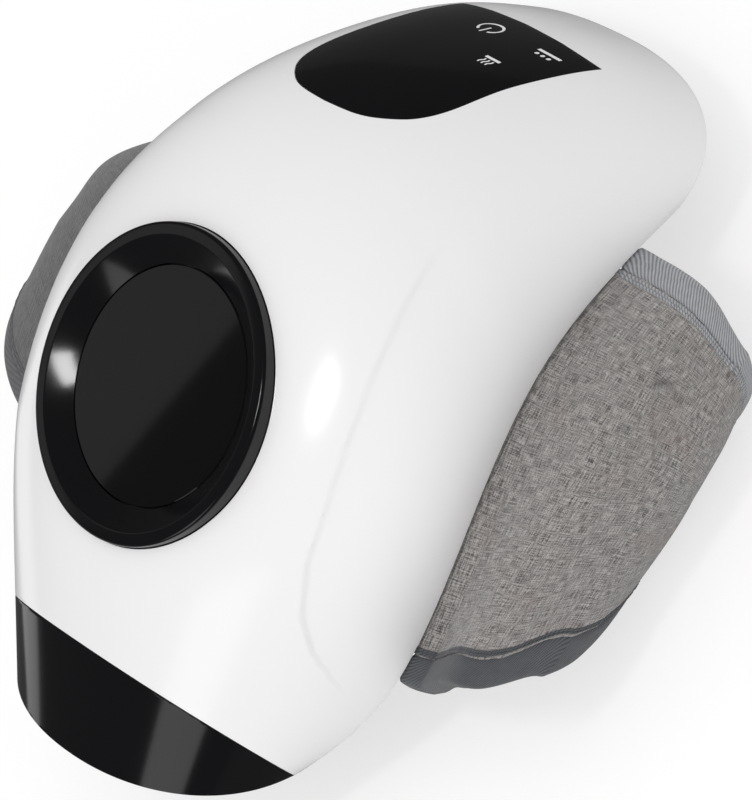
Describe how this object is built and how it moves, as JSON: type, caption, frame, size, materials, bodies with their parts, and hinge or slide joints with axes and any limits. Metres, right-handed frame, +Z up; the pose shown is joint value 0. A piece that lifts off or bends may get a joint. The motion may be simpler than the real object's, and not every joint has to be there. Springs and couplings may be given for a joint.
{
  "type": "heated knee massager",
  "caption": "Heated, vibrating knee massager: a white domed shell with a round black disc, a black chin and a touch panel, on padded fabric wings.",
  "frame": {"origin": "on the table, under the middle of the bounding box, with the part lying dome up on its rolled wings", "axes": "+Z up through the dome, +Y towards the touch panel and the thigh, -Y towards the black chin and the shin, +X and -X towards the two wings"},
  "size_m": [0.2278, 0.2474, 0.1104],
  "materials": {
    "white_shell": "glossy moulded white plastic",
    "black_gloss": "polished black plastic",
    "inner_plastic": "satin moulded plastic",
    "heater_film": "amber film with printed tracks",
    "lining_fabric": "soft knitted lining",
    "circuit_board": "green solder mask",
    "cell_wrap": "heat-shrink wrap",
    "motor_steel": "plated steel",
    "weight_brass": "cast brass",
    "linen_fabric": "grey melange linen weave",
    "stiffener_board": "flexible board",
    "foam": "open foam",
    "binding_tape": "ribbed grosgrain tape",
    "hook_tape": "hook and loop tape"
  },
  "bodies": {
    "body": {"outer_shell": "white_shell", "chin_cover": "black_gloss", "control_panel_lens": "black_gloss", "disc_bezel": "black_gloss", "disc_plate": "black_gloss", "inner_shell": "inner_plastic", "heating_film": "heater_film", "knee_lining": "lining_fabric", "shell_screw_1": "motor_steel", "shell_screw_2": "motor_steel", "shell_screw_3": "motor_steel", "shell_screw_4": "motor_steel", "touch_board": "circuit_board", "main_board": "circuit_board", "battery_cell_left": "cell_wrap", "battery_cell_right": "cell_wrap", "battery_cradle": "inner_plastic", "vibration_motor_left": "motor_steel", "vibration_motor_right": "motor_steel", "motor_clamp_left": "inner_plastic", "motor_clamp_right": "inner_plastic", "charge_port": "motor_steel", "rim_retainer_left": "inner_plastic", "rim_retainer_right": "inner_plastic"},
    "wing_left": {"wing_outer_cover_left": "linen_fabric", "wing_stiffener_left": "stiffener_board", "wing_padding_left": "foam", "wing_inner_cover_left": "lining_fabric", "wing_binding_front_left": "binding_tape", "wing_binding_rear_left": "binding_tape", "wing_patch_left": "hook_tape"},
    "wing_right": {"wing_outer_cover_right": "linen_fabric", "wing_stiffener_right": "stiffener_board", "wing_padding_right": "foam", "wing_inner_cover_right": "lining_fabric", "wing_binding_front_right": "binding_tape", "wing_binding_rear_right": "binding_tape", "wing_patch_right": "hook_tape"},
    "weight_left": {"eccentric_weight_left": "weight_brass"},
    "weight_right": {"eccentric_weight_right": "weight_brass"}
  },
  "joints": [
    {"name": "wing_right_flex", "type": "hinge", "parent": "body", "child": "wing_right", "pos_m": [0.074, 0, 0.053], "axis": [0, -1, 0], "range_deg": [-5, 9], "stiffness_Nm_per_rad": 2},
    {"name": "wing_left_flex", "type": "hinge", "parent": "body", "child": "wing_left", "pos_m": [-0.074, 0, 0.053], "axis": [0, 1, 0], "range_deg": [-5, 9], "stiffness_Nm_per_rad": 2},
    {"name": "weight_left_spin", "type": "hinge", "parent": "body", "child": "weight_left", "pos_m": [-0.04659, 0.0206, 0.08451], "axis": [0, 1, 0], "continuous": true},
    {"name": "weight_right_spin", "type": "hinge", "parent": "body", "child": "weight_right", "pos_m": [0.04659, 0.0206, 0.08451], "axis": [0, 1, 0], "continuous": true}
  ]
}
